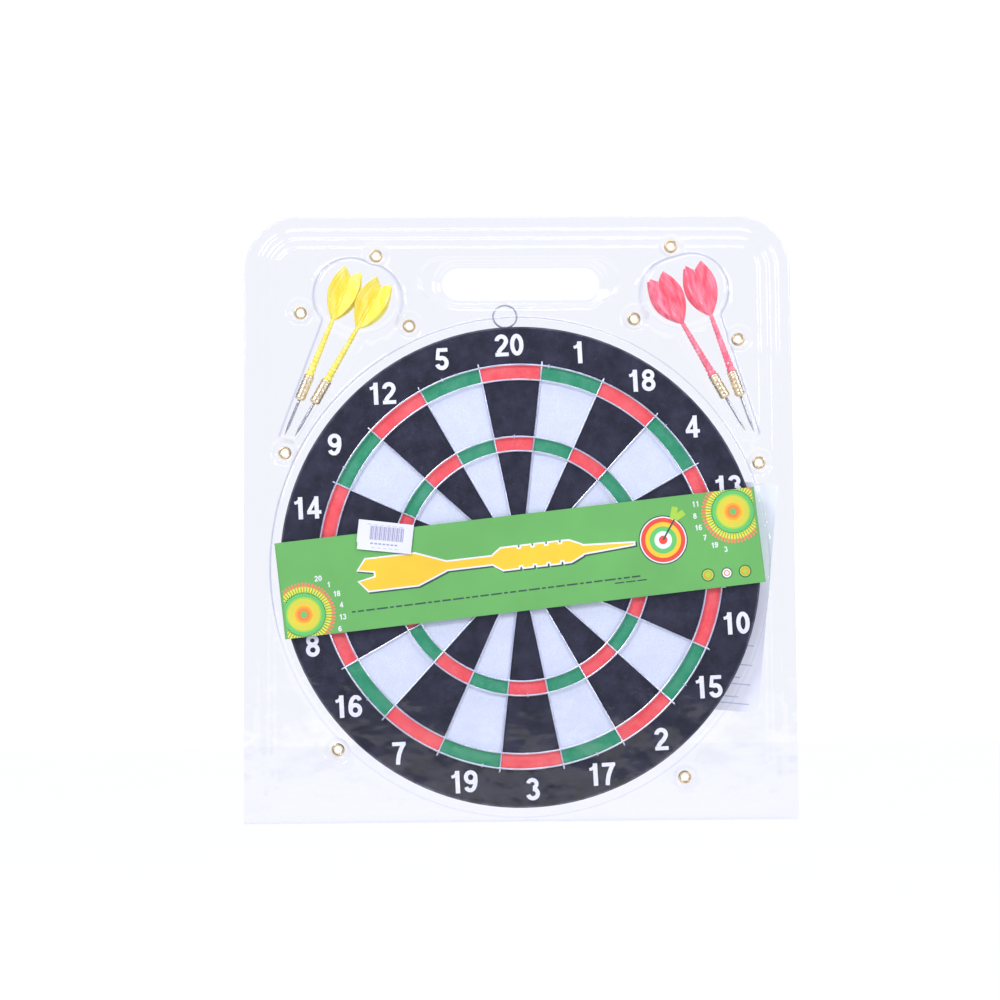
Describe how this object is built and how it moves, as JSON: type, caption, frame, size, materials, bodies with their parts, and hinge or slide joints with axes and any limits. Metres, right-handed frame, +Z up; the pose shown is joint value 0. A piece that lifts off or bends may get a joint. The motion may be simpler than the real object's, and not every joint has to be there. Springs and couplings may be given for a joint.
{
  "type": "dartboard set in clear pack",
  "caption": "Flat round paper dartboard with a wire spider, steel-tip darts, a card belly band and a leaflet in a clear folded clamshell pack with a carry opening.",
  "frame": {"origin": "on the pack's back face, straight behind the board's bull's-eye", "axes": "+X to the viewer's right, +Y out of the back face, +Z up towards the carry opening; the front faces -Y"},
  "size_m": [0.441, 0.0263, 0.486],
  "materials": {
    "clear_sheet": "clear thermoformed PVC sheet, glossy, faint blue cast",
    "eyelet_brass": "brass-plated, lightly tarnished",
    "label_paper": "matt white self-adhesive paper",
    "leaflet_paper": "smooth white paper",
    "band_card": "printed card with a satin coat",
    "board_paper": "wound paper strip, printed, matt",
    "spider_steel": "bright drawn wire",
    "ring_steel": "drawn wire, slightly dulled",
    "point_steel": "ground steel",
    "barrel_brass": "turned brass with grip grooves",
    "yellow_plastic": "moulded, glossy",
    "red_plastic": "moulded, glossy"
  },
  "bodies": {
    "pack": {"back_shell": "clear_sheet", "eyelet_washers": "eyelet_brass", "leaflet": "leaflet_paper", "belly_band": "band_card", "board_core": "board_paper", "double_outer_wire": "spider_steel", "double_inner_wire": "spider_steel", "treble_outer_wire": "spider_steel", "treble_inner_wire": "spider_steel", "outer_bull_wire": "spider_steel", "bull_wire": "spider_steel", "radial_wires": "spider_steel", "wire_staples": "spider_steel", "hanger_staple": "ring_steel"},
    "cover": {"front_shell": "clear_sheet", "eyelets": "eyelet_brass", "price_label": "label_paper", "price_label_overlay": "label_paper"},
    "ring": {"hanging_ring": "ring_steel"},
    "dart_1": {"dart_1_point": "point_steel", "dart_1_barrel": "barrel_brass", "dart_1_flight": "yellow_plastic"},
    "dart_2": {"dart_2_point": "point_steel", "dart_2_barrel": "barrel_brass", "dart_2_flight": "yellow_plastic"},
    "dart_3": {"dart_3_point": "point_steel", "dart_3_barrel": "barrel_brass", "dart_3_flight": "red_plastic"},
    "dart_4": {"dart_4_point": "point_steel", "dart_4_barrel": "barrel_brass", "dart_4_flight": "red_plastic"}
  },
  "joints": [
    {"name": "cover_fold", "type": "hinge", "parent": "pack", "child": "cover", "pos_m": [0, -0.00065, -0.2026], "axis": [1, 0, 0], "range_deg": [0, 170]},
    {"name": "ring_tip", "type": "hinge", "parent": "pack", "child": "ring", "pos_m": [-0.0109, -0.005, 0.1912], "axis": [1, 0, 0], "range_deg": [-9, 4]},
    {"name": "dart_1_shift", "type": "slide", "parent": "pack", "child": "dart_1", "axis": [0.3827, 0, 0.9239], "range_m": [-0.0015, 0.0012]},
    {"name": "dart_2_shift", "type": "slide", "parent": "pack", "child": "dart_2", "axis": [0.5, 0, 0.866], "range_m": [-0.0015, 0.0012]},
    {"name": "dart_3_shift", "type": "slide", "parent": "pack", "child": "dart_3", "axis": [-0.4939, 0, 0.8695], "range_m": [-0.0015, 0.0012]},
    {"name": "dart_4_shift", "type": "slide", "parent": "pack", "child": "dart_4", "axis": [-0.3338, 0, 0.9426], "range_m": [-0.0015, 0.0012]}
  ]
}
